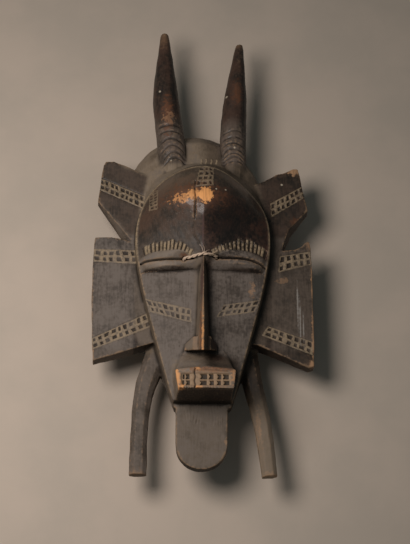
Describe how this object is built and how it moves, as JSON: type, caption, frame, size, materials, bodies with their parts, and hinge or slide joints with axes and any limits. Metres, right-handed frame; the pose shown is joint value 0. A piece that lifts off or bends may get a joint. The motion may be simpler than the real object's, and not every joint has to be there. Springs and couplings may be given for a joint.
{
  "type": "carved mask",
  "caption": "Carved wooden mask with horns, side flaps, legs and a chin tab, hollow at the back, with a cord over the nose.",
  "frame": {"origin": "middle of the mask's outline, on the plane that its hollow back rests on", "axes": "+X to the right of someone facing the mask, +Y up the face towards the horns, +Z out of the face"},
  "size_m": [0.1616, 0.3623, 0.083],
  "materials": {
    "wood": "dark stained hardwood, satin on the forehead and the horns, worn bare on the nose and the edges",
    "cord": "pale twisted plant fibre, matt"
  },
  "bodies": {
    "root": {"mask": "wood", "bridge_cord": "cord"}
  },
  "joints": []
}
